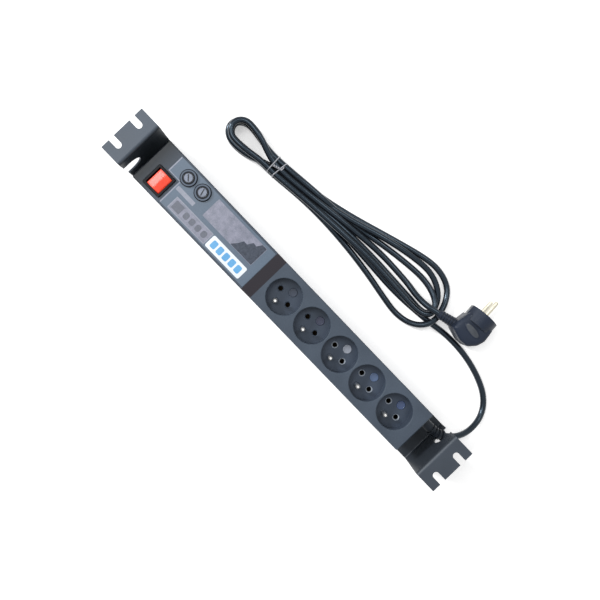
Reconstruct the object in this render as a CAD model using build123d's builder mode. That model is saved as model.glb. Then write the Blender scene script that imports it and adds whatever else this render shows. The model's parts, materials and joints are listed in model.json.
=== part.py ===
from build123d import *
import math
import os

# Rack power strip: 19-inch, five pin-earth sockets, rocker switch, two fuse holders and a mains
# cord that is wound and tied.  Millimetres.
#
# Frame: +X along the strip from the switch end to the cord end, +Y towards the side where the
# cord lies, +Z up out of the socket face.  The strip lies on its back; z = 0 is the underside of
# the mounting brackets' feet.

# ---------------------------------------------------------------- driving dimensions
# brackets, folded from sheet
overall_length = 482.6      # over the rack ears, the 19-inch standard
total_height = 62.0         # underside of the feet to the top of the ears
sheet = 2.0
ear_width = 55.8
ear_length = 25.3
bend_radius = 1.6           # inside radius of the folds
foot_length = 64.0
slot_pitch = 28.575         # between the two ear slots, from the rack hole pattern
slot_width = 7.0
slot_depth = 13.5
notch_low = 17.5            # cable notch in each leg
notch_high = 42.5
notch_inner_y = 7.8
bracket_screw_x = 181.0
bracket_screw_y = 14.0
bracket_screw_radius = 1.6
bracket_screw_length = 10.5
bracket_boss_radius = 4.0
bracket_boss_height = 8.0

# housing: a base and a cover
face_drop = 14.0            # top of the ears down to the socket face
body_width = 53.0
body_x0 = -203.0            # switch end
body_x1 = 189.4             # cord end
wall = 2.5
parting_z = 16.0            # base and cover meet here
corner_radius = 2.0
edge_round = 1.2
foot_chamfer = 0.8
control_rise = 2.5          # the control panel stands this much above the socket face
ramp_x0 = -44.3             # sloped band between the panel and the sockets
ramp_x1 = -31.3
lip_height = 2.0
fit_gap = 0.1               # clearance of fitted plastic parts
post_radius = 3.5           # screw posts inside the cover
post_end_x = 7.4            # first posts from the switch end wall
post_mid_x = -98.0
housing_screw_radius = 1.25
housing_screw_length = 14.0

# sockets
socket_count = 5
socket_pitch = 41.4
first_socket_x = -7.6
well_radius = 19.25
well_depth = 15.0
well_chamfer = 0.6
insert_wall = 1.15
insert_floor = 2.5
live_spacing = 19.0         # between the two live holes
live_hole_radius = 2.6
live_hole_chamfer = 1.0
live_turn = -20.3           # degrees that the line of live holes is turned from X
chimney_bore = 3.5          # guide tube under each live hole
chimney_wall = 1.1
chimney_length = 10.0
pin_radius = 2.4            # earth pin
pin_circle = 10.15          # earth pin axis from the socket axis
pin_below_face = 1.0
pin_nose = 1.5              # height of the pin's cone
pin_nose_width = 1.2
pin_collar_radius = 3.6
pin_collar_height = 3.0
pin_recess = 0.8
disc_radius = 4.7           # moulded disc opposite the earth pin
disc_height = 0.6
disc_recess = 1.0
disc_dish = 0.5
pillar_radius = 2.3         # pillars of the base under each insert
pillar_inset = 3.8          # pillar axis inside the insert's outer wall

# contact bars
bar_z = 14.0
bar_thickness = 0.8
bar_width = 4.0
earth_bar_width = 6.0
sleeve_radius = 3.2
sleeve_wall = 0.7
sleeve_gap = 0.6
sleeve_root = 5.2           # solid part of a sleeve below its slits
slit = 0.7
feed_x_live = -30.0
feed_x_neutral = -38.0
feed_x_earth = -46.0
rib_thickness = 2.0
rib_length = 20.0
rib_y = -4.0

# switch
switch_x = -180.3
switch_y = -9.9
bezel_size_x = 23.6
bezel_size_y = 25.6
bezel_height = 2.2
bezel_border = 1.7          # bezel beyond the panel's opening, each side
bezel_corner = 1.5
bezel_chamfer = 0.7
switch_depth = 20.0
switch_cavity = 13.0        # depth of the rocker's cavity below the panel
rocker_size_x = 16.0
rocker_swing = 2.4          # extra opening along X for the rocker's swing
rocker_size_y = 19.6
rocker_side_gap = 0.4
rocker_tilt = 11.0          # degrees each side of level
rocker_axis_drop = 5.0      # rocker axis below the bezel top
rocker_edge_drop = 0.3      # low edge of the rocker below the bezel top, when level
rocker_belly = 2.0          # below the axis, where the sides end
rocker_keel = 4.5           # below the axis, underside
rocker_keel_half = 2.4
axle_radius = 1.4
axle_length = 1.8
terminal_spacing_x = 12.0
terminal_spacing_y = 10.0
terminal_length = 8.0
terminal_width = 6.3
terminal_thickness = 0.8
lamp_radius = 2.0
lamp_length = 9.0

# fuse holders
fuse_x = (-161.7, -141.4)
fuse_y = 13.6
fuse_slot_angles = (-45, -75)
fuse_flange_radius = 9.1
fuse_flange_height = 2.0
fuse_body_radius = 6.4
fuse_body_depth = 30.0
fuse_cap_radius = 6.0
fuse_cap_sunk = 3.0         # recess for the cap below the flange's top
fuse_cap_proud = 0.9
cap_groove_outer = 5.0
cap_groove_inner = 4.4
cap_slot_length = 7.4
cap_slot_width = 1.3
carrier_radius = 3.6
carrier_length = 8.0
carrier_gap = 0.4
fuse_length = 20.0
fuse_radius = 2.6
fuse_end_length = 5.0
fuse_tag_length = 6.0
nut_radius = 9.2
nut_height = 3.0

# label plate
label_thickness = 0.4
label_x0 = -182.2
label_step_x = -165.8
label_step_y = 4.4
label_x1 = -44.8
label_half_width = 24.0
label_corner = 0.8

# filter board
board_z = 12.0
board_x0 = -124.0
board_x1 = -56.0
board_half = 16.4
board_thickness = 1.6
board_post_radius = 1.8
board_post_inset = 4.0
choke_ring = 7.5
choke_section = 3.6
choke_y = 2.0
capacitor_width = 9.0
capacitor_length = 24.0
capacitor_height = 16.0
varistor_radius = 7.0
varistor_y = -7.0
terminal_block_width = 10.0
terminal_block_length = 30.0
terminal_block_height = 12.0
clamp_pitch = 10.0
clamp_height = 4.0          # wire entries above the board

# cores inside the housing
core_radius = 1.3
core_bend = 2.2
bundle_y = 9.6              # middle of the bundle along the strip
core_pitch = 1.6            # of each core, across the bundle
layer_pitch = 2.9           # between the bundle's two layers
stub_end_x = 176.5          # the cord's sheath ends here

# cord and its strain relief
cord_diameter = 6.8
floor_gap = 0.1             # between what lies on the surface and the surface
gland_y = 15.1
gland_z = 28.0
gland_radius = 5.7
gland_neck_radius = 4.8     # through the housing's wall
gland_core_radius = 4.3     # between the rings
gland_flange_radius = 6.4
gland_flange_thickness = 2.0
gland_straight_x = 204.0
gland_groove = 1.6
gland_bend = 25.0           # radius of the flexible tail
gland_turn = 38.0           # degrees that the tail turns
gland_side = Vector(0, 0.906, -0.423)
ring_count = 4
ring_radius = 5.9
ring_half = 1.05
ring_end = 2.5              # degrees from the tail's start to the first ring

# plug
plug_disc_radius = 18.3
plug_flat_width = 33.0      # across the two earthing contacts
plug_heading = 94.5         # degrees of the pins' direction from +X
plug_x = 156.6              # middle of the plug's front face
plug_y = 141.4
plug_front_depth = 15.0
plug_grip_height = 28.0
plug_grip_corner = 2.6
plug_grip_chamfer = 2.4
plug_pin_length = 19.0
plug_pin_nose = 1.2
plug_earth_hole = 2.6
plug_earth_depth = 13.0
clip_thickness = 1.0
clip_width = 5.0
clip_length = 12.0
relief_tip = (121.4, 107.6)
relief_root = (146.0, 114.0)
relief_tip_radius = 4.1
relief_root_radius = 5.4
relief_rings = 6
relief_ring_radius = 5.2
relief_ring_growth = 0.16
relief_ring_half = 0.9

# ---------------------------------------------------------------- worked-out sizes
face_z = total_height - face_drop
control_z = face_z + control_rise
body_z0 = sheet
half_width = body_width / 2
body_mid_x = (body_x0 + body_x1) / 2
body_length = body_x1 - body_x0
leg_x = overall_length / 2 - ear_length + sheet / 2     # mid-plane of each bracket's leg
floor_z = body_z0 + wall                                # inside floor of the base
well_floor_z = face_z - well_depth
insert_bottom_z = well_floor_z - insert_floor
insert_radius = well_radius + insert_wall
socket_x = [first_socket_x + i * socket_pitch for i in range(socket_count)]
pillar_y = insert_radius - pillar_inset
bar_top = bar_z + bar_thickness
board_top = board_z + board_thickness
board_mid_x = (board_x0 + board_x1) / 2
board_post_y = board_half - board_post_radius
board_posts = [(x, y) for x in (board_x0 + board_post_inset, board_x1 - board_post_inset)
               for y in (-board_post_y, board_post_y)]
terminal_block_x = board_x0 + 2 + terminal_block_width / 2
clamp_z = board_top + clamp_height
bezel_top = control_z + bezel_height
rocker_axis_z = bezel_top - rocker_axis_drop
panel_hole_x = bezel_size_x - 2 * bezel_border
panel_hole_y = bezel_size_y - 2 * bezel_border
blade_bottom_z = control_z - switch_depth - terminal_length
fuse_seat_z = control_z + label_thickness
fuse_top_z = fuse_seat_z + fuse_flange_height           # top of the flange
fuse_tag_z = fuse_seat_z - fuse_body_depth - fuse_tag_length
cap_top_z = fuse_top_z + fuse_cap_proud
cap_bottom_z = fuse_top_z - fuse_cap_sunk + 0.2
glass_top_z = fuse_top_z - fuse_cap_sunk - 1.5
bundle_z = floor_z + core_radius + 0.3
plug_z = plug_disc_radius + floor_gap
cord_radius = cord_diameter / 2
cord_floor_z = cord_radius + floor_gap


def turned(distance, degrees):
    """Offset in X and Y of a point at this distance and angle."""
    a = math.radians(degrees)
    return distance * math.cos(a), distance * math.sin(a)


live_dx, live_dy = turned(live_spacing / 2, live_turn)
pin_dx, pin_dy = turned(pin_circle, live_turn - 90)
post_y = half_width - wall - post_radius - 0.2
post_places = [(x, s * post_y)
               for x in (body_x0 + post_end_x, post_mid_x, socket_x[0] + socket_pitch / 2,
                         socket_x[-1] - socket_pitch / 2)
               for s in (-1, 1)]
bracket_screw_places = [(e * bracket_screw_x, s * bracket_screw_y) for e in (-1, 1) for s in (-1, 1)]

os.makedirs("parts", exist_ok=True)
saved = []


def save(part, name):
    """Label a finished piece and write it to its own file."""
    part.label = name
    export_step(part, f"parts/{name}.step")
    saved.append(name)


# ---------------------------------------------------------------- housing
def side_profile(inset, z_low):
    """Outline of the cover seen from the side, drawn in by an inset at the ends and the top."""
    pts = [(body_x0 + inset, z_low), (body_x0 + inset, control_z - inset),
           (ramp_x0, control_z - inset), (ramp_x1, face_z - inset),
           (body_x1 - inset, face_z - inset), (body_x1 - inset, z_low)]
    Polyline(*pts, close=True)


def make_cover():
    with BuildPart() as cover:
        with BuildSketch(Plane.XZ):
            with BuildLine():
                side_profile(0, parting_z)
            make_face()
        extrude(amount=half_width, both=True)
        fillet(cover.edges().filter_by(Axis.Z), corner_radius)
        tops = [e for e in cover.edges() if e.center().Z > face_z - 0.05
                and abs(e.center().X - ramp_x0) > 0.1 and abs(e.center().X - ramp_x1) > 0.1]
        chamfer(tops, edge_round)
        with BuildSketch(Plane.XZ):
            with BuildLine():
                side_profile(wall, parting_z)
            make_face()
        extrude(amount=half_width - wall, both=True, mode=Mode.SUBTRACT)
        # rebate for the lip of the base
        with BuildSketch(Plane.XY.offset(parting_z)):
            with Locations((body_mid_x, 0)):
                Rectangle(body_length - wall, body_width - wall)
        extrude(amount=lip_height + fit_gap, mode=Mode.SUBTRACT)
        # screw posts down to the floor of the base
        for x, y in post_places:
            top = (control_z if x < ramp_x0 else face_z) - wall
            with BuildSketch(Plane.XY.offset(floor_z)):
                with Locations((x, y)):
                    Circle(post_radius)
            extrude(amount=top - floor_z + wall / 5)
            with BuildSketch(Plane.XY.offset(floor_z)):
                with Locations((x, y)):
                    Circle(housing_screw_radius + 0.05)
            extrude(amount=housing_screw_length + 2, mode=Mode.SUBTRACT)
        # socket wells
        with Locations([(x, 0, face_z) for x in socket_x]):
            Hole(well_radius, depth=wall)
        rims = [e for e in cover.edges().filter_by(GeomType.CIRCLE)
                if abs(e.radius - well_radius) < 0.01 and abs(e.center().Z - face_z) < 0.01]
        chamfer(rims, well_chamfer)
        # openings of the control panel
        with BuildSketch(Plane.XY.offset(control_z)):
            with Locations((switch_x, switch_y)):
                Rectangle(panel_hole_x, panel_hole_y)
            with Locations([(x, fuse_y) for x in fuse_x]):
                Circle(fuse_body_radius + fit_gap)
        extrude(amount=-wall, mode=Mode.SUBTRACT)
        # cord hole in the end wall
        with BuildSketch(Plane.YZ.offset(body_x1 + 1)):
            with Locations((gland_y, gland_z)):
                Circle(gland_neck_radius + fit_gap)
        extrude(amount=-(wall + 2), mode=Mode.SUBTRACT)
    save(cover.part, "housing_cover")


def make_base():
    with BuildPart() as base:
        with BuildSketch(Plane.XY.offset(body_z0)):
            with Locations((body_mid_x, 0)):
                RectangleRounded(body_length, body_width, corner_radius)
        extrude(amount=parting_z - body_z0)
        chamfer(base.faces().sort_by(Axis.Z)[0].edges(), foot_chamfer)
        # lip that enters the cover
        with BuildSketch(Plane.XY.offset(parting_z)):
            with Locations((body_mid_x, 0)):
                Rectangle(body_length - wall - 2 * fit_gap, body_width - wall - 2 * fit_gap)
        extrude(amount=lip_height)
        with BuildSketch(Plane.XY.offset(floor_z)):
            with Locations((body_mid_x, 0)):
                Rectangle(body_length - 2 * wall, body_width - 2 * wall)
        extrude(amount=parting_z + lip_height - floor_z, mode=Mode.SUBTRACT)
        # pillars under the socket inserts, two to each
        with BuildSketch(Plane.XY.offset(floor_z)):
            with Locations([(x, s * pillar_y) for x in socket_x for s in (-1, 1)]):
                Circle(pillar_radius)
        extrude(amount=insert_bottom_z - floor_z)
        # ribs that carry the contact bars
        with BuildSketch(Plane.XY.offset(floor_z)):
            with Locations([(x + socket_pitch / 2, rib_y) for x in socket_x[:-1]]):
                Rectangle(rib_thickness, rib_length)
        extrude(amount=bar_z - floor_z)
        # posts under the filter board
        with BuildSketch(Plane.XY.offset(floor_z)):
            with Locations(board_posts):
                Circle(board_post_radius)
        extrude(amount=board_z - floor_z)
        # bosses for the bracket screws
        with BuildSketch(Plane.XY.offset(floor_z)):
            with Locations(bracket_screw_places):
                Circle(bracket_boss_radius)
        extrude(amount=bracket_boss_height)
        with BuildSketch(Plane.XY.offset(body_z0)):
            with Locations(bracket_screw_places):
                Circle(bracket_screw_radius + 0.05)
        extrude(amount=bracket_screw_length - sheet + 0.7, mode=Mode.SUBTRACT)
        # countersunk holes of the housing screws
        with Locations(Location((0, 0, body_z0), (180, 0, 0))):
            with Locations([(x, -y, 0) for x, y in post_places]):
                CounterSinkHole(housing_screw_radius + 0.45, 3.1, depth=wall)
    save(base.part, "housing_base")


def countersunk_screws(places, head_radius, head_height, radius, length):
    """Cross-slotted screws standing on their heads."""
    upward = (Align.CENTER, Align.CENTER, Align.MIN)
    slot_length = 1.1 * head_radius
    slot_width = 0.24 * head_radius
    with BuildPart() as screws:
        with Locations(*places):
            Cone(head_radius, radius, head_height, align=upward)
            Cylinder(radius, length, align=upward)
        with BuildSketch(Plane.XY.offset(places[0][2])):
            with Locations([(x, y) for x, y, z in places]):
                Rectangle(slot_length, slot_width)
                Rectangle(slot_width, slot_length)
        extrude(amount=head_height / 2, mode=Mode.SUBTRACT)
    return screws.part


def make_housing_screws():
    places = [(x, y, body_z0 + fit_gap) for x, y in post_places]
    save(countersunk_screws(places, 3.0, 1.75, housing_screw_radius, housing_screw_length),
         "housing_screws")


# ---------------------------------------------------------------- rack brackets
def make_bracket(end, name):
    """Z-shaped bracket of folded sheet; end is -1 at the switch and +1 at the cord."""
    tip = overall_length / 2
    outer = leg_x + sheet / 2
    inner = leg_x - sheet / 2
    bend_out = bend_radius + sheet
    with BuildPart() as bracket:
        with BuildSketch(Plane.XZ):
            with BuildLine():
                foot = inner - foot_length
                FilletPolyline((end * foot, 0), (end * outer, 0), (end * outer, total_height - sheet),
                               (end * tip, total_height - sheet),
                               radius=[bend_out, bend_radius])
                Line((end * tip, total_height - sheet), (end * tip, total_height))
                FilletPolyline((end * tip, total_height), (end * inner, total_height),
                               (end * inner, sheet), (end * foot, sheet),
                               radius=[bend_out, bend_radius])
                Line((end * foot, sheet), (end * foot, 0))
            make_face()
        extrude(amount=ear_width / 2, both=True)
        # open slots for the rack screws, with round inner ends
        slot_straight = slot_depth - slot_width / 2
        with BuildSketch(Plane.XY.offset(total_height)):
            for y in (-slot_pitch / 2, slot_pitch / 2):
                with Locations((end * (tip - slot_straight), y)):
                    Circle(slot_width / 2)
                with Locations((end * (tip - slot_straight / 2 + sheet / 2), y)):
                    Rectangle(slot_straight + sheet, slot_width)
        extrude(amount=-sheet, mode=Mode.SUBTRACT)
        # cable notch, open at one side edge
        span = notch_high - notch_low
        notch_y = notch_inner_y + span / 2
        notch_z = (notch_low + notch_high) / 2
        with BuildSketch(Plane.YZ.offset(end * leg_x)):
            with Locations((end * notch_y, notch_z)):
                Circle(span / 2)
            with Locations((end * (notch_y + ear_width / 2), notch_z)):
                Rectangle(ear_width, span)
        extrude(amount=1.5 * sheet, both=True, mode=Mode.SUBTRACT)
        # countersunk holes for the bracket screws
        mine = [(x, y) for x, y in bracket_screw_places if x * end > 0]
        with Locations(Location((0, 0, 0), (180, 0, 0))):
            with Locations([(x, -y, 0) for x, y in mine]):
                CounterSinkHole(bracket_screw_radius + 0.5, 4.0, depth=sheet)
    save(bracket.part, name)


def make_bracket_screws():
    places = [(x, y, floor_gap) for x, y in bracket_screw_places]
    save(countersunk_screws(places, 3.8, sheet - floor_gap, bracket_screw_radius, bracket_screw_length),
         "bracket_screws")


# ---------------------------------------------------------------- sockets
def make_socket(index, x):
    """One pin-earth socket: the insert cup, its earth pin and the disc on its floor."""
    lives = [(x + live_dx, live_dy), (x - live_dx, -live_dy)]
    pin = (x + pin_dx, pin_dy)
    disc = (x - pin_dx, -pin_dy)
    with BuildPart() as insert:
        with BuildSketch(Plane.XY.offset(insert_bottom_z)):
            with Locations((x, 0)):
                Circle(insert_radius)
        extrude(amount=face_z - wall - insert_bottom_z)
        with BuildSketch(Plane.XY.offset(well_floor_z)):
            with Locations((x, 0)):
                Circle(well_radius)
        extrude(amount=well_depth, mode=Mode.SUBTRACT)
        # chimneys round the live contacts
        with BuildSketch(Plane.XY.offset(insert_bottom_z)):
            with Locations(lives):
                Circle(chimney_bore + chimney_wall)
        extrude(amount=-chimney_length)
        with BuildSketch(Plane.XY.offset(insert_bottom_z)):
            with Locations(lives):
                Circle(chimney_bore)
        extrude(amount=-chimney_length, mode=Mode.SUBTRACT)
        with Locations([(a, b, well_floor_z) for a, b in lives]):
            CounterSinkHole(live_hole_radius, live_hole_radius + live_hole_chamfer, depth=insert_floor)
        with Locations((pin[0], pin[1], well_floor_z)):
            CounterBoreHole(pin_radius + fit_gap / 2, pin_radius + 1.2, pin_recess, depth=insert_floor)
        with BuildSketch(Plane.XY.offset(well_floor_z)):
            with Locations(disc):
                Circle(disc_radius + fit_gap)
        extrude(amount=-disc_recess, mode=Mode.SUBTRACT)
    save(insert.part, f"socket_insert_{index}")

    with BuildPart() as earth_pin:
        with BuildSketch(Plane.XY.offset(bar_top)):
            with Locations(pin):
                Circle(pin_radius)
        extrude(amount=face_z - pin_below_face - bar_top)
        chamfer(earth_pin.faces().sort_by(Axis.Z)[-1].edges(), pin_nose, pin_nose_width)
        with BuildSketch(Plane.XY.offset(insert_bottom_z - pin_collar_height)):
            with Locations(pin):
                Circle(pin_collar_radius)
        extrude(amount=pin_collar_height)
    save(earth_pin.part, f"earth_pin_{index}")

    with BuildPart() as cap:
        with BuildSketch(Plane.XY.offset(well_floor_z - disc_recess)):
            with Locations(disc):
                Circle(disc_radius)
        extrude(amount=disc_recess + disc_height)
        chamfer(cap.faces().sort_by(Axis.Z)[-1].edges(), 0.4)
        with BuildSketch(Plane.XY.offset(well_floor_z + disc_height)):
            with Locations(disc):
                Circle(0.7 * disc_radius)
        extrude(amount=-disc_dish, mode=Mode.SUBTRACT)
    save(cap.part, f"socket_disc_{index}")


def make_contact_bar(name, y, xs, feed_x):
    """Brass strip under the sockets with one sprung sleeve for each plug pin."""
    with BuildPart() as bar:
        end_x = xs[-1] + bar_width
        with BuildSketch(Plane.XY.offset(bar_z)):
            with Locations(((feed_x + end_x) / 2, y)):
                Rectangle(end_x - feed_x, bar_width)
            with Locations([(x, y) for x in xs]):
                Circle(sleeve_radius)
        extrude(amount=bar_thickness)
        sleeve_top = insert_bottom_z - sleeve_gap
        with BuildSketch(Plane.XY.offset(bar_top)):
            with Locations([(x, y) for x in xs]):
                Circle(sleeve_radius)
                Circle(sleeve_radius - sleeve_wall, mode=Mode.SUBTRACT)
        extrude(amount=sleeve_top - bar_top)
        # slits that let the sleeves spring
        with BuildSketch(Plane.XY.offset(bar_top + sleeve_root)):
            with Locations([(x, y) for x in xs]):
                Rectangle(2 * sleeve_radius + 1, slit)
        extrude(amount=sleeve_top - bar_z, mode=Mode.SUBTRACT)
    save(bar.part, name)


def make_earth_bar():
    with BuildPart() as bar:
        end_x = socket_x[-1] + pin_dx + earth_bar_width
        with BuildSketch(Plane.XY.offset(bar_z)):
            with Locations(((feed_x_earth + end_x) / 2, pin_dy)):
                Rectangle(end_x - feed_x_earth, earth_bar_width)
        extrude(amount=bar_thickness)
    save(bar.part, "earth_bar")


# ---------------------------------------------------------------- switch
def make_switch():
    inner_x = rocker_size_x + rocker_swing
    inner_y = rocker_size_y + 2 * rocker_side_gap
    neck_x = panel_hole_x - 2 * fit_gap
    neck_y = panel_hole_y - 2 * fit_gap
    with BuildPart() as switch_body:
        with BuildSketch(Plane.XY.offset(control_z)):
            with Locations((switch_x, switch_y)):
                RectangleRounded(bezel_size_x, bezel_size_y, bezel_corner)
        extrude(amount=bezel_height)
        chamfer(switch_body.faces().sort_by(Axis.Z)[-1].edges(), bezel_chamfer)
        with BuildSketch(Plane.XY.offset(control_z)):
            with Locations((switch_x, switch_y)):
                Rectangle(neck_x, neck_y)
        extrude(amount=-switch_depth)
        with BuildSketch(Plane.XY.offset(bezel_top)):
            with Locations((switch_x, switch_y)):
                Rectangle(inner_x, inner_y)
        extrude(amount=-bezel_height - switch_cavity, mode=Mode.SUBTRACT)
        # stub axles that carry the rocker
        for side in (-1, 1):
            with BuildSketch(Plane.XZ.offset(-(switch_y + side * (inner_y - axle_length) / 2))):
                with Locations((switch_x, rocker_axis_z)):
                    Circle(axle_radius)
            extrude(amount=axle_length / 2, both=True)
        # terminals
        with BuildSketch(Plane.XY.offset(control_z - switch_depth)):
            with Locations((switch_x, switch_y)):
                with GridLocations(terminal_spacing_x, terminal_spacing_y, 2, 2):
                    Rectangle(terminal_thickness, terminal_width)
        extrude(amount=-terminal_length)
        # snap wings against the underside of the panel
        wing_height = 3.9
        with BuildSketch(Plane.XY.offset(control_z - wall - fit_gap - wing_height)):
            with Locations([(switch_x + side * (neck_x / 2 + 0.4), switch_y) for side in (-1, 1)]):
                Rectangle(1.0, 8.0)
        extrude(amount=wing_height)
    save(switch_body.part, "switch_body")


def make_rocker():
    """Ridge-topped rocker, pressed down on its +X side at rest."""
    half = rocker_size_x / 2
    rise = half * math.tan(math.radians(rocker_tilt))
    edge_z = rocker_axis_drop - rocker_edge_drop
    with BuildPart() as rocker:
        with BuildSketch(Plane.XZ.offset(-switch_y)):
            with BuildLine():
                Polyline((-half, edge_z), (0, edge_z + rise), (half, edge_z), (half - 0.6, -rocker_belly),
                         (rocker_keel_half, -rocker_keel), (-rocker_keel_half, -rocker_keel),
                         (-half + 0.6, -rocker_belly), close=True)
            make_face()
        extrude(amount=rocker_size_y / 2, both=True)
        top = rocker.edges().filter_by(lambda e: e.center().Z > edge_z - 0.1)
        fillet(top, 0.5)
        with BuildSketch(Plane.XZ.offset(-switch_y)):
            Circle(axle_radius + fit_gap / 2)
        extrude(amount=rocker_size_y, both=True, mode=Mode.SUBTRACT)
        # pocket for the indicator lamp
        with BuildSketch(Plane.XY.offset(-rocker_keel)):
            with Locations((0, switch_y)):
                Rectangle(3 * lamp_radius, lamp_length + 3)
        extrude(amount=2.6, mode=Mode.SUBTRACT)
    place = Location((switch_x, 0, rocker_axis_z)) * Location((0, 0, 0), (0, rocker_tilt, 0))
    save(rocker.part.moved(place), "rocker")


def make_switch_lamp():
    with BuildPart() as lamp:
        with BuildSketch(Plane.XZ.offset(-switch_y)):
            with Locations((switch_x, control_z - switch_cavity + lamp_radius)):
                Circle(lamp_radius)
        extrude(amount=lamp_length / 2, both=True)
    save(lamp.part, "switch_lamp")


# ---------------------------------------------------------------- fuses
def make_fuse(index, x, slot_angle):
    with BuildPart() as holder:
        with BuildSketch(Plane.XY.offset(fuse_seat_z)):
            with Locations((x, fuse_y)):
                Circle(fuse_flange_radius)
        extrude(amount=fuse_flange_height)
        chamfer(holder.faces().sort_by(Axis.Z)[-1].edges(), 0.6)
        with BuildSketch(Plane.XY.offset(fuse_seat_z)):
            with Locations((x, fuse_y)):
                Circle(fuse_body_radius)
        extrude(amount=-fuse_body_depth)
        with BuildSketch(Plane.XY.offset(fuse_top_z)):
            with Locations((x, fuse_y)):
                Circle(fuse_cap_radius + fit_gap)
        extrude(amount=-fuse_cap_sunk, mode=Mode.SUBTRACT)
        with BuildSketch(Plane.XY.offset(fuse_seat_z)):
            with Locations((x, fuse_y)):
                Circle(carrier_radius + carrier_gap)
        extrude(amount=-fuse_body_depth + 2.0, mode=Mode.SUBTRACT)
        with BuildSketch(Plane.XY.offset(fuse_seat_z - fuse_body_depth)):
            with Locations((x, fuse_y)):
                Rectangle(4.0, terminal_thickness)
        extrude(amount=-fuse_tag_length)
    save(holder.part, f"fuse_holder_{index}")

    with BuildPart() as nut:
        with BuildSketch(Plane.XY.offset(control_z - wall)):
            with Locations((x, fuse_y)):
                RegularPolygon(nut_radius, 6)
                Circle(fuse_body_radius, mode=Mode.SUBTRACT)
        extrude(amount=-nut_height)
    save(nut.part, f"fuse_nut_{index}")

    with BuildPart() as cap:
        with BuildSketch(Plane.XY.offset(cap_bottom_z)):
            with Locations((x, fuse_y)):
                Circle(fuse_cap_radius)
        extrude(amount=cap_top_z - cap_bottom_z)
        chamfer(cap.faces().sort_by(Axis.Z)[-1].edges(), 0.8)
        # raised slotted head inside a groove
        with BuildSketch(Plane.XY.offset(cap_top_z)):
            with Locations((x, fuse_y)):
                Circle(cap_groove_outer)
                Circle(cap_groove_inner, mode=Mode.SUBTRACT)
        extrude(amount=-0.7, mode=Mode.SUBTRACT)
        with BuildSketch(Plane.XY.offset(cap_top_z)):
            with Locations(Location((x, fuse_y, 0), (0, 0, slot_angle))):
                Rectangle(cap_slot_length, cap_slot_width)
        extrude(amount=-cap_slot_width, mode=Mode.SUBTRACT)
        # sleeve that grips the end of the fuse
        with BuildSketch(Plane.XY.offset(cap_bottom_z)):
            with Locations((x, fuse_y)):
                Circle(carrier_radius)
        extrude(amount=-carrier_length)
        with BuildSketch(Plane.XY.offset(glass_top_z)):
            with Locations((x, fuse_y)):
                Circle(fuse_radius + carrier_gap)
        extrude(amount=-carrier_length, mode=Mode.SUBTRACT)
    save(cap.part, f"fuse_cap_{index}")

    with BuildPart() as fuse:
        with Locations((x, fuse_y, glass_top_z - fuse_length / 2)):
            Cylinder(fuse_radius - 0.2, fuse_length)
        ends = (fuse_end_length / 2, fuse_length - fuse_end_length / 2)
        with Locations(*[(x, fuse_y, glass_top_z - drop) for drop in ends]):
            Cylinder(fuse_radius, fuse_end_length)
    save(fuse.part, f"glass_fuse_{index}")


# ---------------------------------------------------------------- label plate
def make_label():
    with BuildPart() as label:
        with BuildSketch(Plane.XY.offset(control_z)):
            with BuildLine():
                FilletPolyline((label_x0, label_half_width), (label_x1, label_half_width),
                               (label_x1, -label_half_width), (label_step_x, -label_half_width),
                               (label_step_x, label_step_y), (label_x0, label_step_y),
                               radius=label_corner, close=True)
            make_face()
            with Locations([(x, fuse_y) for x in fuse_x]):
                Circle(fuse_body_radius + fit_gap, mode=Mode.SUBTRACT)
        extrude(amount=label_thickness)
    save(label.part, "label_plate")


# ---------------------------------------------------------------- filter board
def make_filter():
    with BuildPart() as board:
        with BuildSketch(Plane.XY.offset(board_z)):
            with Locations((board_mid_x, 0)):
                Rectangle(board_x1 - board_x0, 2 * board_half)
        extrude(amount=board_thickness)
    save(board.part, "filter_board")

    with BuildPart() as choke:
        with Locations((board_mid_x + 4, choke_y, board_top + 1.25 * choke_section)):
            Torus(choke_ring, choke_section)
        # seat ring under the winding
        with BuildSketch(Plane.XY.offset(board_top)):
            with Locations((board_mid_x + 4, choke_y)):
                Circle(choke_ring + 1.5)
                Circle(choke_ring - 1.5, mode=Mode.SUBTRACT)
        extrude(amount=2.0)
    save(choke.part, "filter_choke")

    with BuildPart() as capacitor:
        with BuildSketch(Plane.XY.offset(board_top)):
            with Locations((board_x1 - capacitor_width, 0)):
                RectangleRounded(capacitor_width, capacitor_length, 0.8)
        extrude(amount=capacitor_height)
        chamfer(capacitor.faces().sort_by(Axis.Z)[-1].edges(), 0.6)
    save(capacitor.part, "filter_capacitor")

    with BuildPart() as varistor:
        with BuildSketch(Plane.YZ.offset(board_x0 + 22)):
            with Locations((varistor_y, board_top + varistor_radius + 1.0)):
                Circle(varistor_radius)
            with Locations([(varistor_y + s * varistor_radius / 2, board_top + 1.0) for s in (-1, 1)]):
                Rectangle(0.8, 2.0)
        extrude(amount=2.0, both=True)
    save(varistor.part, "filter_varistor")

    with BuildPart() as terminals:
        with BuildSketch(Plane.XY.offset(board_top)):
            with Locations((terminal_block_x, 0)):
                Rectangle(terminal_block_width, terminal_block_length)
        extrude(amount=terminal_block_height)
        with BuildSketch(Plane.XY.offset(board_top + terminal_block_height)):
            with Locations([(terminal_block_x, k * clamp_pitch) for k in (-1, 0, 1)]):
                Circle(2.2)
        extrude(amount=-6.0, mode=Mode.SUBTRACT)
        with BuildSketch(Plane.YZ.offset(board_x0 + 1)):
            with Locations([(k * clamp_pitch, clamp_z) for k in (-1, 0, 1)]):
                Circle(1.8)
        extrude(amount=12.0, mode=Mode.SUBTRACT)
    save(terminals.part, "terminal_block")


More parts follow.
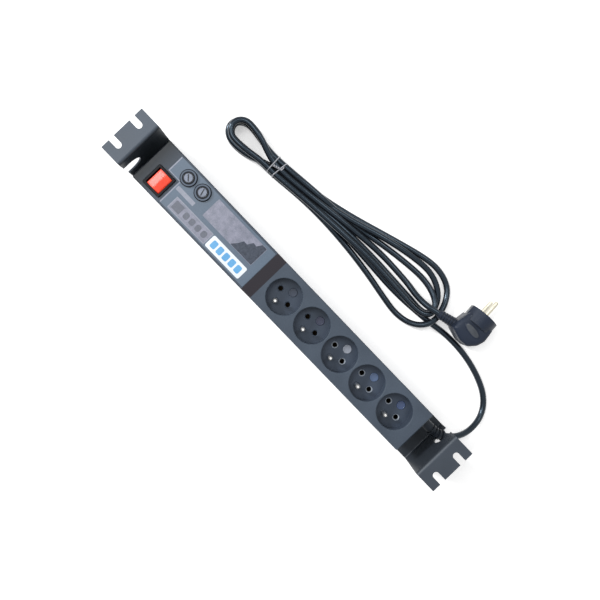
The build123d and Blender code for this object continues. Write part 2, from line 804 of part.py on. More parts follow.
# ---------------------------------------------------------------- tubes that follow a route
def tube(points, radii, radius):
    """Round tube along straight runs joined by tangent arcs."""
    with BuildPart(mode=Mode.PRIVATE) as piece:
        with BuildLine() as path:
            FilletPolyline(*points, radius=radii)
        with BuildSketch(Plane(origin=path.wire() @ 0, z_dir=path.wire() % 0)):
            Circle(radius)
        sweep(path=path.wire())
    run = path.wire().length
    ratio = piece.part.volume / (math.pi * radius ** 2 * run)
    print(f"tube: length {run:.1f}, volume over section x length {ratio:.4f}")
    return piece.part


def arc_radii(points):
    """0.45 of the shorter run beside each corner, over the tangent of half the turn."""
    p = [Vector(*q) for q in points]
    radii = []
    for a, b, c in zip(p, p[1:], p[2:]):
        turn = (b - a).get_angle(c - b)
        run = min((b - a).length, (c - b).length)
        radii.append(0.45 * run / math.tan(math.radians(turn / 2)))
    print("arc radii", [round(r, 1) for r in radii])
    return radii


def make_wires():
    """Single cores: three along the strip from the cord, and the links at the control end."""
    low = bundle_z
    high = bundle_z + layer_pitch
    blade_x = (switch_x - terminal_spacing_x / 2, switch_x + terminal_spacing_x / 2)
    blade_y = (switch_y - terminal_spacing_y / 2, switch_y + terminal_spacing_y / 2)
    drop_x = stub_end_x - 7.6
    sides = {"live": core_pitch, "neutral": 0.0, "earth": -core_pitch}
    clamp_x = board_x0 + 5
    jog_x = board_x0 - 22

    def trunk(core):
        """Out of the cord's sheath, down, and on to the bundle along the strip."""
        y = gland_y + sides[core]
        if core == "neutral":
            return [(stub_end_x, y, gland_z - 1.9), (drop_x + 2.6, y, gland_z - 1.9),
                    (drop_x + 0.6, bundle_y, low)]
        return [(stub_end_x, y, gland_z + 0.9), (drop_x, y, gland_z + 0.9),
                (drop_x - 2.0, bundle_y + sides[core], high)]

    def bar_feed(y, feed_x):
        """From the board's edge, over and down to a contact bar."""
        board_end = board_x1 - 2
        over = board_top + 6
        return [(board_end, y, board_top), (board_end, y, over),
                (feed_x + 2, y, over), (feed_x + 2, y, bar_top)]

    routes = {
        "wire_live_in": trunk("live") + [(board_x0 - 4, bundle_y + sides["live"], high),
                                         (fuse_x[1], fuse_y, high), (fuse_x[1], fuse_y, fuse_tag_z)],
        "wire_neutral_in": trunk("neutral") + [(jog_x, bundle_y, low),
                                               (blade_x[1] + 6, blade_y[1], low + 1.0),
                                               (blade_x[1], blade_y[1], low + 6.0),
                                               (blade_x[1], blade_y[1], blade_bottom_z)],
        "wire_earth_in": trunk("earth") + [(feed_x_earth + 22, bundle_y + sides["earth"], high),
                                           (feed_x_earth + 4, pin_dy, high),
                                           (feed_x_earth + 4, pin_dy, bar_z)],
        "wire_fuse_link": [(fuse_x[0], fuse_y, fuse_tag_z), (fuse_x[0], fuse_y, high + 2.2),
                           (fuse_x[0] - 1, blade_y[1] + 2.9, high + 2.2),
                           (fuse_x[0] - 5, blade_y[0], high + 3.0),
                           (blade_x[1], blade_y[0], high + 5.0), (blade_x[1], blade_y[0], blade_bottom_z)],
        "wire_switch_live": [(blade_x[0], blade_y[0], blade_bottom_z), (blade_x[0], blade_y[0], clamp_z),
                             (switch_x, blade_y[0] - 5.0, clamp_z), (jog_x, blade_y[0] - 5.0, clamp_z),
                             (jog_x + 12, -clamp_pitch, clamp_z), (clamp_x, -clamp_pitch, clamp_z)],
        "wire_switch_neutral": [(blade_x[0], blade_y[1], blade_bottom_z), (blade_x[0], blade_y[1], clamp_z),
                                (switch_x, blade_y[1] + 8.3, clamp_z), (jog_x, blade_y[1] + 8.3, clamp_z),
                                (jog_x + 12, 0.0, clamp_z), (clamp_x, 0.0, clamp_z)],
        "wire_bar_live": bar_feed(live_dy, feed_x_live),
        "wire_bar_neutral": bar_feed(-live_dy, feed_x_neutral),
    }
    for name, points in routes.items():
        save(tube(points, core_bend, core_radius), name)


# ---------------------------------------------------------------- strain relief and cord
def gland_point(angle):
    """Place and heading on the tail's centre line after this many degrees."""
    a = math.radians(angle)
    start = Vector(gland_straight_x, gland_y, gland_z)
    place = start + Vector(gland_bend * math.sin(a), 0, 0) + gland_side * (gland_bend * (1 - math.cos(a)))
    heading = Vector(math.cos(a), 0, 0) + gland_side * math.sin(a)
    return place, heading


def make_gland():
    inner_face = body_x1 - wall
    groove_x = gland_straight_x - gland_groove
    # start, length and radius of the straight sections along X
    sections = [(inner_face - gland_flange_thickness, gland_flange_thickness, gland_flange_radius),
                (inner_face, wall, gland_neck_radius),
                (body_x1, groove_x - body_x1, gland_radius),
                (groove_x, gland_groove, gland_core_radius)]
    with BuildPart() as gland:
        for start_x, length, radius in sections:
            with BuildSketch(Plane.YZ.offset(start_x)):
                with Locations((gland_y, gland_z)):
                    Circle(radius)
            extrude(amount=length)
        # flexible tail with its rings
        with BuildLine() as tail:
            ThreePointArc(gland_point(0)[0], gland_point(gland_turn / 2)[0], gland_point(gland_turn)[0])
        with BuildSketch(Plane.YZ.offset(gland_straight_x)):
            with Locations((gland_y, gland_z)):
                Circle(gland_core_radius)
        sweep(path=tail.wire())
        ring_step = (gland_turn - 2.8 * ring_end) / (ring_count - 1)
        for k in range(ring_count):
            place, heading = gland_point(ring_end + k * ring_step)
            with BuildSketch(Plane(origin=place, z_dir=heading)):
                Circle(ring_radius)
            extrude(amount=ring_half, both=True)
    save(gland.part, "strain_relief")

    # end of the cord's sheath inside the housing
    stub_start_x = inner_face - gland_flange_thickness
    with BuildPart() as stub:
        with BuildSketch(Plane.YZ.offset(stub_start_x)):
            with Locations((gland_y, gland_z)):
                Circle(cord_radius)
        extrude(amount=stub_end_x - stub_start_x)
    save(stub.part, "cord_inner")


tail_end, tail_heading = gland_point(gland_turn)
first_run = tail_end + tail_heading * 10.0
lead_route = [tuple(tail_end), tuple(first_run), (234.2, 33.2, 18.7), (239.0, 42.9, 13.4),
              (240.7, 54.4, 8.6), (238.9, 66.0, 5.2), (232.6, 76.6, 3.7), (222.2, 85.2, cord_floor_z),
              (208.6, 91.4, cord_floor_z), (194.0, 95.8, cord_floor_z), (179.2, 98.6, cord_floor_z),
              (163.8, 99.8, cord_floor_z), (148.6, 99.4, cord_floor_z), (135.4, 97.8, cord_floor_z),
              (124.2, 95.4, cord_floor_z)]

# the wound cord: outlines of the open fan and of the tied end with its small loop
fan_outline = [(-70, 84.5), (5, 87), (66, 73), (104, 69.5), (127.5, 86), (124.2, 92), (124.2, 99),
               (129, 104), (129, 120), (121, 136), (100, 150), (66, 147), (-24, 117), (-70, 105.5)]
neck_outline = [(-65, 85), (-105, 79.6), (-126, 78.5), (-166, 70.5), (-188, 73), (-184, 100),
                (-154, 107), (-122, 102), (-96, 104), (-65, 108)]
fan_top = 19.1
neck_top = 26.2
neck_lift = 1.6             # the tied end lies this much above the surface
tie_x = (-116.5, -109.5)    # the tie's two turns
tie_side_y = (79.4, 100.6)
tie_top = 26.0
tie_wire = 1.2
tie_twist_length = 9.0


def make_cord():
    save(tube(lead_route, arc_radii(lead_route), cord_radius), "cord_lead")

    with BuildPart() as hank:
        with BuildSketch(Plane.XY.offset(floor_gap)):
            with BuildLine():
                FilletPolyline(*fan_outline, radius=2.6, close=True)
            make_face()
        extrude(amount=fan_top - floor_gap)
        with BuildSketch(Plane.XY.offset(neck_lift)):
            with BuildLine():
                FilletPolyline(*neck_outline, radius=5.0, close=True)
            make_face()
        extrude(amount=neck_top - neck_lift)
    save(hank.part, "cord_hank")

    mid_y = sum(tie_side_y) / 2
    across = tie_side_y[1] - tie_side_y[0]
    mid_z = tie_top / 2
    with BuildPart() as tie:
        with BuildSketch(Plane.YZ.offset(tie_x[0])):
            with Locations((mid_y, mid_z)):
                RectangleRounded(across + 2 * tie_wire, tie_top - 2 * floor_gap, 3.0)
                RectangleRounded(across, tie_top - 2 * floor_gap - 2 * tie_wire, 2.0, mode=Mode.SUBTRACT)
        extrude(amount=tie_wire)
        mirror(about=Plane.YZ.offset((tie_x[0] + tie_x[1] + tie_wire) / 2))
        # twisted ends, from one turn to the other
        with Locations(((tie_x[0] + tie_x[1] + tie_wire) / 2, mid_y, tie_top - floor_gap - tie_wire / 2)):
            Box(tie_twist_length, 2 * tie_wire, tie_wire)
    save(tie.part, "hank_tie")


# ---------------------------------------------------------------- plug
def make_plug():
    pins_x, pins_y = turned(1.0, plug_heading)
    face = Vector(plug_x, plug_y, plug_z)
    front = Plane(origin=face, x_dir=(pins_y, -pins_x, 0), z_dir=(pins_x, pins_y, 0))
    flat = Plane(origin=face, x_dir=(pins_y, -pins_x, 0), z_dir=(0, 0, 1))
    root = Vector(*relief_root, plug_z)
    tip = Vector(*relief_tip, plug_z)
    along = (root - tip).normalized()
    with BuildPart() as body:
        # angled grip, seen from above
        with BuildSketch(flat):
            with BuildLine():
                FilletPolyline((-15.0, -7.0), (-17.8, -22.6), (-18.3, -33.1), (-3.6, -38.2), (6.4, -38.0),
                               (14.0, -30.6), (17.2, -22.0), (15.8, -7.0),
                               radius=plug_grip_corner, close=True)
            make_face()
        extrude(amount=plug_grip_height / 2, both=True)
        rims = [e for e in body.edges() if abs(abs(e.center().Z - plug_z) - plug_grip_height / 2) < 0.01]
        chamfer(rims, plug_grip_chamfer)
        # round front with a flat for each earthing contact
        with BuildSketch(front):
            Circle(plug_disc_radius)
            Rectangle(plug_flat_width, 2 * plug_disc_radius, mode=Mode.INTERSECT)
        extrude(amount=-plug_front_depth)
        # hole for the socket's earth pin
        with BuildSketch(front):
            with Locations((pin_circle, 0)):
                Circle(plug_earth_hole)
        extrude(amount=-plug_earth_depth, mode=Mode.SUBTRACT)
        # moulded relief with its rings
        with BuildSketch(Plane(origin=tip, z_dir=along)):
            Circle(relief_tip_radius)
        with BuildSketch(Plane(origin=root, z_dir=along)):
            Circle(relief_root_radius)
        loft()
        first_ring = relief_ring_half + 1.7
        ring_step = ((root - tip).length - first_ring - 6.9) / (relief_rings - 1)
        for k in range(relief_rings):
            with BuildSketch(Plane(origin=tip + along * (first_ring + k * ring_step), z_dir=along)):
                Circle(relief_ring_radius + k * relief_ring_growth)
            extrude(amount=relief_ring_half, both=True)
    save(body.part, "plug_body")

    with BuildPart() as pins:
        with BuildSketch(front):
            with Locations((0, live_spacing / 2), (0, -live_spacing / 2)):
                Circle(pin_radius)
        extrude(amount=plug_pin_length)
        noses = [e for e in pins.edges() if (e.center() - face).dot(front.z_dir) > plug_pin_length - 0.1]
        chamfer(noses, plug_pin_nose)
    save(pins.part, "plug_pins")

    with BuildPart() as clips:
        clip_x = (plug_flat_width + clip_thickness) / 2
        with BuildSketch(front):
            with Locations((-clip_x, 0), (clip_x, 0)):
                Rectangle(clip_thickness, clip_width)
        extrude(amount=-clip_length)
    save(clips.part, "plug_earth_clips")


make_cover()
make_base()
make_housing_screws()
make_bracket(-1, "bracket_switch_end")
make_bracket(1, "bracket_cord_end")
make_bracket_screws()
for number, place_x in enumerate(socket_x, start=1):
    make_socket(number, place_x)
make_contact_bar("live_bar", live_dy, [x + live_dx for x in socket_x], feed_x_live)
make_contact_bar("neutral_bar", -live_dy, [x - live_dx for x in socket_x], feed_x_neutral)
make_earth_bar()
make_switch()
make_rocker()
make_switch_lamp()
for number, (place_x, slot) in enumerate(zip(fuse_x, fuse_slot_angles), start=1):
    make_fuse(number, place_x, slot)
make_label()
make_filter()
make_wires()
make_gland()
make_cord()
make_plug()
print(len(saved), "nodes")
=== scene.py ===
"""Looks of the rack power strip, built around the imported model.

The scene is in metres, +Z up, the strip along X and the floor at z = 0.  Places and sizes of
the object are written in millimetres and scaled by MM.
"""
import json
import math

import bmesh
import bpy
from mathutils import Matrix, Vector


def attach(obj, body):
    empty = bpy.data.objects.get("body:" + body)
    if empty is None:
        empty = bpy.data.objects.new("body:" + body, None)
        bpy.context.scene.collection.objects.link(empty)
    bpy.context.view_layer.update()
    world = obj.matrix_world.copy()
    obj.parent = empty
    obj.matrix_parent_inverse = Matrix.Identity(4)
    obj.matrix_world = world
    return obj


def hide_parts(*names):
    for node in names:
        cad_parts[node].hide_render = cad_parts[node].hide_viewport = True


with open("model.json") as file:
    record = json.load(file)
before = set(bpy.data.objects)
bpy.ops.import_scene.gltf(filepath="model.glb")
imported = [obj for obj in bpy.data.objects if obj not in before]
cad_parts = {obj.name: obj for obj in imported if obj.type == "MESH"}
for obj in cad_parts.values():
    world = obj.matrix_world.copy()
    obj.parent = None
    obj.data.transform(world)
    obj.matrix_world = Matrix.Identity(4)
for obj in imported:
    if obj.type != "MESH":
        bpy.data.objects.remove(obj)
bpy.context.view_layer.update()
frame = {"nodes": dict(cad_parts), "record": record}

nodes = frame["nodes"]
MM = 0.001


# ---------------------------------------------------------------- small helpers
def srgb(red, green, blue):
    """Linear colour, with alpha, of a colour written as 0-255 display values."""
    def linear(value):
        share = value / 255
        return share / 12.92 if share <= 0.04045 else ((share + 0.055) / 1.055) ** 2.4
    return (linear(red), linear(green), linear(blue), 1.0)


def in_metres(points):
    return [tuple(value * MM for value in point) for point in points]


def in_scene(name, data):
    """A new object of this mesh, curve, lamp or camera, linked to the scene."""
    placed = bpy.data.objects.new(name, data)
    bpy.context.scene.collection.objects.link(placed)
    return placed


def new_piece(name, data, material):
    """A mesh or curve of one finish, as a piece that rides on the root body."""
    piece = in_scene(name, data)
    piece.data.materials.append(material)
    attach(piece, "root")
    return piece


def mesh_of(bm, name, smooth=True):
    """The bmesh as a mesh with its faces outwards; the bmesh is freed."""
    mesh = bpy.data.meshes.new(name)
    bmesh.ops.recalc_face_normals(bm, faces=bm.faces)
    bm.to_mesh(mesh)
    bm.free()
    for face in mesh.polygons:
        face.use_smooth = smooth
    return mesh


def bridge(bm, low, high):
    """Quads between two closed rings that have the same number of points."""
    for i in range(len(low)):
        j = (i + 1) % len(low)
        bm.faces.new((low[i], low[j], high[j], high[i]))


# ---------------------------------------------------------------- camera
CAMERA_PLACE = (-0.0203, 0.0075, 0.7262)    # metres
CAMERA_TURN = (-1.486, -1.656, 46.187)      # degrees about X, Y and Z
CAMERA_LENS = 39.53                         # mm, on the sensor's width
SENSOR_WIDTH = 36.0
NEAREST_SEEN = 0.01                         # metres


def make_camera():
    camera = in_scene("camera", bpy.data.cameras.new("camera"))
    camera.location = CAMERA_PLACE
    camera.rotation_euler = [math.radians(angle) for angle in CAMERA_TURN]
    camera.data.sensor_width = SENSOR_WIDTH
    camera.data.lens = CAMERA_LENS
    camera.data.clip_start = NEAREST_SEEN
    bpy.context.scene.camera = camera


# ---------------------------------------------------------------- cord
CORD_DIAMETER = 6.8
FLOOR_Z = 3.5               # centre line of a cord that lies on the floor

# the lead, from the strain relief down to the floor and round to the hank
LEAD_ROUTE = [(219.4, 19.9, 25.8), (227.3, 25.5, 23.2), (234.2, 33.2, 18.7), (239.0, 42.9, 13.4),
              (240.7, 54.4, 8.6), (238.9, 66.0, 5.2), (232.6, 76.6, 3.7), (222.2, 85.2, FLOOR_Z),
              (208.6, 91.4, FLOOR_Z), (194.0, 95.8, FLOOR_Z), (179.2, 98.6, FLOOR_Z),
              (163.8, 99.8, FLOOR_Z), (148.6, 99.4, FLOOR_Z), (135.4, 97.8, FLOOR_Z),
              (124.2, 95.4, FLOOR_Z)]

NECK_X = -112.0             # where the tie holds the bundle
WAIST_X = -65.0             # where the bundle starts to open
WAIST_RISE = 5.4            # the bundle has moved this far in +Y at the waist
STATIONS = (-20.0, 30.0, 75.0)

# Each run of the hank between its small loops and its fan: its (y, z) in the neck, where three
# runs are low, two between and three on top, then (y, z) at the three stations across the fan.
LEFTWARD = [
    dict(neck=(90.0, 3.5), fan=((94.6, 3.5), (92.8, 3.5), (90.6, 3.5))),
    dict(neck=(83.2, 3.5), fan=((88.6, 5.0), (84.6, 3.5), (77.0, 3.5))),
    dict(neck=(86.6, 9.4), fan=((97.6, 9.0), (100.0, 3.5), (98.4, 3.5))),
    dict(neck=(83.4, 15.3), fan=((92.4, 14.0), (96.3, 9.2), (94.8, 8.8))),
]
RIGHTWARD = [
    dict(neck=(96.8, 3.5), fan=((113.2, 3.5), (129.4, 3.5), (142.8, 3.5))),
    dict(neck=(93.4, 9.4), fan=((108.6, 8.8), (125.6, 8.8), (134.8, 4.5))),
    dict(neck=(96.8, 15.3), fan=((106.8, 3.6), (118.0, 3.5), (124.0, 3.5))),
    dict(neck=(90.1, 15.3), fan=((102.6, 10.4), (109.4, 3.5), (108.0, 4.2))),
]
# the way round the open end of the fan, from each rightward run to the next leftward one
FAN_ENDS = [
    [(96, 142.4, 3.5), (111, 136.4, 3.6), (119.6, 125.5, 5.4), (123.6, 114, 8.4),
     (125.6, 104, 10.3), (124.4, 93.5, 10.3), (117.6, 84, 7.6), (106, 77.6, 4.4), (91, 75.4, 3.5)],
    [(94, 132.6, 3.5), (107.4, 125.4, 3.5), (115.4, 116, 3.5), (118.2, 106.5, 3.5),
     (114.6, 99.4, 3.5), (105, 97.4, 3.5), (92, 98.2, 3.5)],
    [(93, 123, 4.0), (105, 119.4, 6.0), (114, 113.6, 9.2), (118.6, 105.6, 9.8), (115.4, 98, 9.8),
     (106, 94.6, 9.6), (92, 94.2, 9.2)],
]
PLUG_END = [(90, 105.0, 9.4), (102, 104.2, 14.6), (112.4, 105.3, 17.9), (121.4, 107.6, 18.4)]

# the small loops past the tie: half of their width, the x of their end, their height, and how
# far each lies from the middle in Y
SMALL_LOOP_CENTRE = (-163.0, 88.2)
SMALL_LOOPS = [
    dict(half=13.4, end=-181.0, z=3.5, shift=0.0),
    dict(half=11.8, end=-178.6, z=9.8, shift=1.6),
    dict(half=13.0, end=-180.2, z=16.1, shift=-0.8),
    dict(half=11.8, end=-177.8, z=22.4, shift=1.2),
]
LOOP_START_X = -129.0       # the sides part here, half way from the neck's place to the loop's
LOOP_START_SHARE = 0.62     # of half the width
LOOP_RISE_SHARE = 0.4       # of the way from the neck's height to the loop's
LOOP_SIDE_X = -147.0        # the sides are at the loop's own width and height here
LOOP_LOW_SHARE = 0.90       # of half the width, on the low side and on the high side
LOOP_HIGH_SHARE = 0.86
LOOP_END_SHARE = 1.04
LOOP_END_DEGREES = range(-80, 81, 32)


def run_points(run):
    """Points of one run from the neck out across the fan."""
    neck_y, neck_z = run["neck"]
    points = [(NECK_X, neck_y, neck_z), (WAIST_X, neck_y + WAIST_RISE, neck_z)]
    return points + [(x, y, z) for x, (y, z) in zip(STATIONS, run["fan"])]


def small_loop_points(loop, low, high):
    """Points round one small loop, from the neck's low side to its high side."""
    centre_x, centre_y = SMALL_LOOP_CENTRE
    centre_y += loop["shift"]
    half, end_x, z = loop["half"], loop["end"], loop["z"]

    def start(neck, side):
        neck_y, neck_z = neck
        return (LOOP_START_X, (neck_y + centre_y + side * LOOP_START_SHARE * half) / 2,
                (1 - LOOP_RISE_SHARE) * neck_z + LOOP_RISE_SHARE * z)

    points = [start(low, -1), (LOOP_SIDE_X, centre_y - LOOP_LOW_SHARE * half, z)]
    for degrees in LOOP_END_DEGREES:
        a = math.radians(degrees)
        points.append((centre_x + (end_x - centre_x) * math.cos(a),
                       centre_y + half * math.sin(a) * LOOP_END_SHARE, z))
    return points + [(LOOP_SIDE_X, centre_y + LOOP_HIGH_SHARE * half, z), start(high, 1)]


def cord_route():
    """The cord's centre line, from the strain relief to the plug."""
    route = list(LEAD_ROUTE)
    for turn, (left, right, loop) in enumerate(zip(LEFTWARD, RIGHTWARD, SMALL_LOOPS)):
        route += run_points(left)[::-1]
        route += small_loop_points(loop, left["neck"], right["neck"])
        route += run_points(right)
        route += FAN_ENDS[turn] if turn < len(FAN_ENDS) else PLUG_END
    return in_metres(route)


def nurbs_curve(name, points, diameter):
    """A round wire, its diameter in mm, along a smooth curve led by points in metres."""
    curve = bpy.data.curves.new(name, "CURVE")
    curve.dimensions = "3D"
    curve.bevel_depth = diameter / 2 * MM
    curve.bevel_resolution = 5
    curve.use_fill_caps = True
    spline = curve.splines.new("NURBS")
    spline.points.add(len(points) - 1)
    for knot, point in zip(spline.points, points):
        knot.co = (*point, 1.0)
    spline.order_u = 3
    spline.use_endpoint_u = True
    spline.resolution_u = 6
    return curve


def make_cord():
    """The cord as one curve, and the place where it leaves the strain relief."""
    route = cord_route()
    cord = new_piece("cord", nurbs_curve("cord", route, CORD_DIAMETER), materials["cord_black"])
    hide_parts("cord_lead", "cord_hank")
    return cord, route[0]


# ---------------------------------------------------------------- tie
TIE_WIRE = 1.3
TIE_TURNS = (-117.0, -109.4)        # x of the wire's two turns round the neck
TIE_LEANS = (-1.2, 1.6)             # how far each turn leans along X across the bundle
TIE_LOW = (79.6, 0.9)               # y and z of the turns' lower corner
TIE_HIGH = (100.6, 19.6)
TIE_CORNER = 4.5                    # rounding of the turns' corners
TIE_CUT = 1.2                       # how far a corner's own point is drawn in

TWIST_POINTS = 17
TWIST_TURN = 0.75                   # radians from each point of the twist to the next
TWIST_RADIUS = 0.75
TWIST_START = (-116.0, 88.6)
TWIST_STEP = (0.62, 0.175)          # along X and Y, from each point to the next
TWIST_LIFT = 1.0                    # axis of the twist above the turns
TWIST_TIP = (-106.7, 92.6)          # tip of the first end
TWIST_TIP_GAP = 2.6                 # from there to the second end's tip, along Y
TWIST_TIP_LIFT = 0.9


def turn_points(x, lean):
    """Points round one turn of the wire, with the first two again at the end."""
    (low_y, low_z), (high_y, high_z) = TIE_LOW, TIE_HIGH
    ring = [(low_y, low_z + TIE_CORNER), (low_y, high_z - TIE_CORNER),
            (low_y + TIE_CUT, high_z - TIE_CUT), (low_y + TIE_CORNER, high_z),
            (high_y - TIE_CORNER, high_z), (high_y - TIE_CUT, high_z - TIE_CUT),
            (high_y, high_z - TIE_CORNER), (high_y, low_z + TIE_CORNER),
            (high_y - TIE_CUT, low_z + TIE_CUT), (high_y - TIE_CORNER, low_z),
            (low_y + TIE_CORNER, low_z), (low_y + TIE_CUT, low_z + TIE_CUT)]
    return [(x + lean * (y - low_y) / (high_y - low_y), y, z) for y, z in ring + ring[:2]]


def twist_points(number):
    """Points of the first or the second twisted end."""
    top = TIE_HIGH[1]
    points = []
    for step in range(TWIST_POINTS):
        a = math.pi * number + step * TWIST_TURN
        points.append((TWIST_START[0] + step * TWIST_STEP[0],
                       TWIST_START[1] + step * TWIST_STEP[1] + TWIST_RADIUS * math.cos(a),
                       top + TWIST_LIFT + TWIST_RADIUS * math.sin(a)))
    tip_x, tip_y = TWIST_TIP
    return points + [(tip_x, tip_y + number * TWIST_TIP_GAP, top + TWIST_TIP_LIFT)]


def make_tie():
    """Thin wire wound twice round the neck of the hank, with its ends twisted together."""
    wires = [("tie_turn_%d" % (number + 1), turn_points(x, lean))
             for number, (x, lean) in enumerate(zip(TIE_TURNS, TIE_LEANS))]
    wires += [("tie_twist_%d" % (number + 1), twist_points(number)) for number in (0, 1)]
    pieces = [new_piece(name, nurbs_curve(name, in_metres(points), TIE_WIRE),
                        materials["tie_wire"]) for name, points in wires]
    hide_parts("hank_tie")
    return pieces


# ---------------------------------------------------------------- plug
PLUG_FACE = Vector((156.6, 141.4, 18.4))    # middle of the face that the pins stand on
PLUG_HEADING = 94.5                         # degrees from +X to the way the pins point
GRIP_OUTLINE = [(-15.0, -7.0), (-17.8, -22.6), (-18.3, -33.1), (-3.6, -38.2), (6.4, -38.0),
                (14.0, -30.6), (17.2, -22.0), (15.8, -7.0)]
OUTLINE_SAMPLES = 5         # points on each piece of the rounded outline
GRIP_COVER = 0.5            # the soft skin stands this much proud of the moulding's corners
# height from the middle, and how far the outline has drawn in there
GRIP_CROWN = [(0.0, 0.0), (6.0, 0.0), (10.6, 0.1), (12.2, 0.6), (13.3, 1.5), (14.0, 2.7),
              (14.3, 4.2), (14.45, 7.5), (14.5, 12.0)]
CROWN_EDGE = 2.7            # past this the outline shrinks evenly towards its middle
CROWN_REACH = 16.0          # and would be there after this much more

# thumb pad on the top of the grip and the rim round it: name, half length, half width, height of
# its foot, thickness and finish
PADS = [("plug_pad_rim", 10.6, 4.6, 14.45, 0.45, "plug_black"),
        ("plug_pad", 9.4, 3.4, 14.75, 0.3, "plug_pad")]
PAD_EDGE = [(0.0, 0.0), (0.6, 0.05), (1.0, 0.5)]    # share of the thickness, how far drawn in
PAD_PLACE = (-1.2, -22.4)
PAD_LEAN = math.radians(-9)
PAD_BLUNT = 0.8             # 1 gives an ellipse, less gives blunter ends
PAD_POINTS = 40


def plug_place(across, along, up):
    """World point, in metres, of a place on the plug: across and along the pins, and up, in mm."""
    a = math.radians(PLUG_HEADING)
    pins = Vector((math.cos(a), math.sin(a), 0.0))
    side = Vector((pins.y, -pins.x, 0.0))
    return (PLUG_FACE + side * across + pins * along + Vector((0, 0, up))) * MM


def rounded_outline(corners):
    """Closed quadratic B-spline led by the corners and the middles between them."""
    points = []
    for i, corner in enumerate(corners):
        here, after = Vector(corner), Vector(corners[(i + 1) % len(corners)])
        points += [here, (here + after) / 2]
    smooth = []
    for i, b in enumerate(points):
        a, c = points[i - 1], points[(i + 1) % len(points)]
        for k in range(OUTLINE_SAMPLES):
            t = k / OUTLINE_SAMPLES
            smooth.append((a + b) / 2 * (1 - t) ** 2 + b * 2 * t * (1 - t) + (b + c) / 2 * t ** 2)
    return smooth


def drawn_in(outline, amount):
    """The outline moved inwards by an amount, along its own normals."""
    moved = []
    for i, point in enumerate(outline):
        tangent = outline[(i + 1) % len(outline)] - outline[i - 1]
        moved.append(point + Vector((-tangent.y, tangent.x)).normalized() * amount)
    return moved


def make_grip():
    """Soft skin over the plug's grip, crowned above and below."""
    outline = rounded_outline(GRIP_OUTLINE)
    middle = sum(outline, Vector((0, 0))) / len(outline)
    if (drawn_in(outline, 1.0)[0] - middle).length > (outline[0] - middle).length:
        outline = outline[::-1]
    bm = bmesh.new()
    levels = [(-up, inset) for up, inset in GRIP_CROWN[:0:-1]] + GRIP_CROWN
    rings = []
    for up, inset in levels:
        ring = drawn_in(outline, min(inset, CROWN_EDGE) - GRIP_COVER)
        shrink = 1 - max(0.0, inset - CROWN_EDGE) / CROWN_REACH
        ring = [middle + (point - middle) * shrink for point in ring]
        rings.append([bm.verts.new(plug_place(point.x, point.y, up)) for point in ring])
    for low, high in zip(rings, rings[1:]):
        bridge(bm, low, high)
    for ring, up in ((rings[0], levels[0][0]), (rings[-1], levels[-1][0])):
        tip = bm.verts.new(plug_place(middle.x, middle.y, up))
        for i in range(len(ring)):
            bm.faces.new((ring[i], ring[(i + 1) % len(ring)], tip))
    return new_piece("plug_grip", mesh_of(bm, "plug_grip"), materials["plug_black"])


def make_pad(name, half, wide, foot, thick, finish):
    """A flat pad with a soft edge, lying at a lean across the top of the grip."""
    bm = bmesh.new()
    rings = []
    for share, inset in PAD_EDGE:
        ring = []
        for step in range(PAD_POINTS):
            a = math.tau * step / PAD_POINTS
            across, along = (half - inset) * math.cos(a), (wide - inset) * math.sin(a)
            across = math.copysign(abs(across / half) ** PAD_BLUNT * half, across)
            ring.append(bm.verts.new(plug_place(
                across * math.cos(PAD_LEAN) - along * math.sin(PAD_LEAN) + PAD_PLACE[0],
                across * math.sin(PAD_LEAN) + along * math.cos(PAD_LEAN) + PAD_PLACE[1],
                foot + share * thick)))
        rings.append(ring)
    for low, high in zip(rings, rings[1:]):
        bridge(bm, low, high)
    bm.faces.new(rings[-1])
    return new_piece(name, mesh_of(bm, name), materials[finish])


def make_plug():
    """The grip's skin, and the thumb pad and its rim on the top."""
    return [make_grip()] + [make_pad(*pad) for pad in PADS]


# ---------------------------------------------------------------- shader helpers
def add_node(tree, kind, inputs=None, **settings):
    """A shader node with its settings and its inputs, each a value or another node's output."""
    made = tree.nodes.new("ShaderNode" + kind)
    for key, value in settings.items():
        setattr(made, key, value)
    for key, value in (inputs or {}).items():
        if isinstance(value, bpy.types.NodeSocket):
            tree.links.new(value, made.inputs[key])
        else:
            made.inputs[key].default_value = value
    return made


def maths(tree, operation, *values):
    """Output of a Math node whose inputs are numbers or other nodes' outputs."""
    return add_node(tree, "Math", dict(enumerate(values)), operation=operation).outputs[0]


def product(tree, first, *others):
    for other in others:
        first = maths(tree, "MULTIPLY", first, other)
    return first


def ranged(tree, value, low, high, bottom=0.0, top=1.0):
    """The value's range from low to high laid onto bottom to top, and held beyond both ends."""
    return add_node(tree, "MapRange", {
        "Value": value, "From Min": low, "From Max": high,
        "To Min": bottom, "To Max": top}).outputs["Result"]


def span(tree, value, low, high, soft=0.15):
    """1 where the value, in metres, lies between low and high in mm, with soft edges."""
    rise = ranged(tree, value, (low - soft) * MM, (low + soft) * MM)
    fall = ranged(tree, value, (high - soft) * MM, (high + soft) * MM, 1.0, 0.0)
    return product(tree, rise, fall)


def noise(tree, place, scale, detail):
    return add_node(tree, "TexNoise", {
        "Vector": place, "Scale": scale, "Detail": detail}).outputs["Fac"]


def stretched(tree, place, scale):
    return add_node(tree, "Mapping", {"Vector": place, "Scale": scale}).outputs["Vector"]


def mixed(tree, share, first, second):
    """Colour between two colours or outputs."""
    return add_node(tree, "MixRGB", {
        "Fac": share, "Color1": first, "Color2": second}).outputs["Color"]


# ---------------------------------------------------------------- stage
FLOOR_SIZE = 6.0            # metres
FLOOR_TONE = (0.9, 0.9, 0.9, 1.0)
FLOOR_GLOW = 0.45           # lifts the floor to white where a camera, mirror or glass sees it
WHITE = (1.0, 1.0, 1.0, 1.0)
FILL = 0.38                 # light of the world on the object

